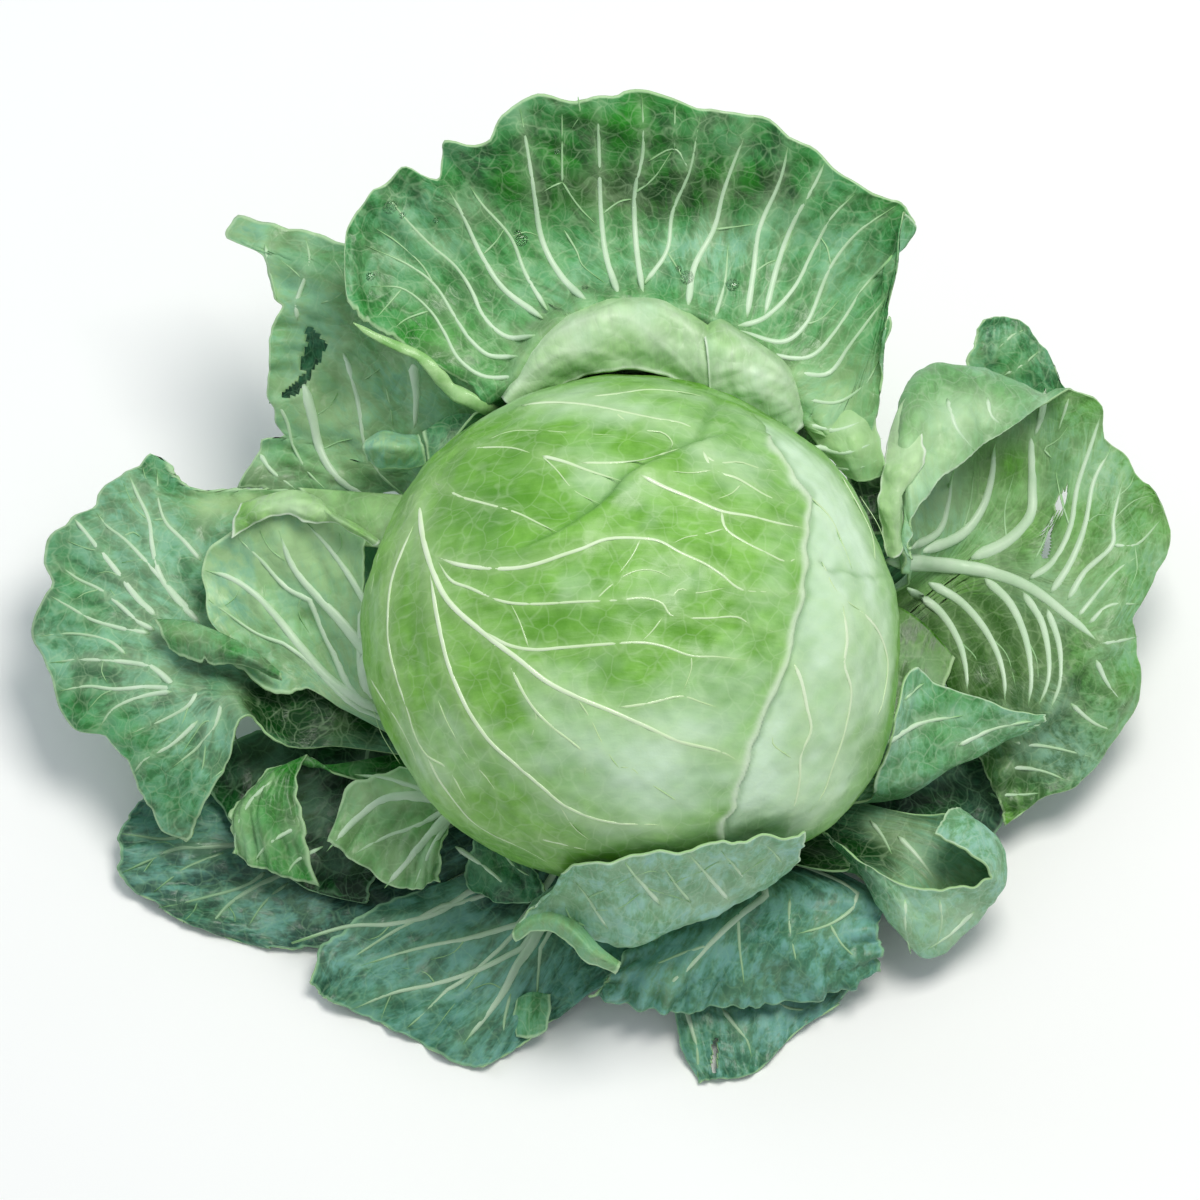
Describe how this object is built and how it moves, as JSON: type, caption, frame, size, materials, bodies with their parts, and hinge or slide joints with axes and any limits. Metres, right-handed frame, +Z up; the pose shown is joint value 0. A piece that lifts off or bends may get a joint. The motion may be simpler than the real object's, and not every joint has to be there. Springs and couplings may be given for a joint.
{
  "type": "cabbage head",
  "caption": "Head of white cabbage, pale and tightly wrapped, with its loose waxy blue-green outer leaves spread round it.",
  "frame": {"origin": "middle of the stem's flat cut face, on the surface that the cabbage rests on", "axes": "+Z up along the stem and the middle of the head, -Y towards the viewer of the picture, +X to the viewer's right"},
  "size_m": [0.4313, 0.3201, 0.1993],
  "materials": {
    "head": "satin, pale green leaf",
    "outer_leaf": "satin, waxy blue-green leaf",
    "stem": "matt, cut stem"
  },
  "bodies": {
    "root": {"stem": "stem", "head": "head", "leaf_back": "outer_leaf", "leaf_back_left": "outer_leaf", "leaf_left": "outer_leaf", "leaf_left_inner": "outer_leaf", "leaf_left_lobe": "outer_leaf", "leaf_low_left": "outer_leaf", "leaf_left_deep": "outer_leaf", "leaf_pleated": "outer_leaf", "leaf_front_left": "outer_leaf", "leaf_bottom": "outer_leaf", "leaf_front": "outer_leaf", "leaf_front_right": "outer_leaf", "leaf_hanging": "outer_leaf", "leaf_low_right": "outer_leaf", "leaf_right_deep": "outer_leaf", "leaf_right": "outer_leaf", "leaf_right_flap": "outer_leaf", "leaf_right_tip": "outer_leaf"}
  },
  "joints": []
}
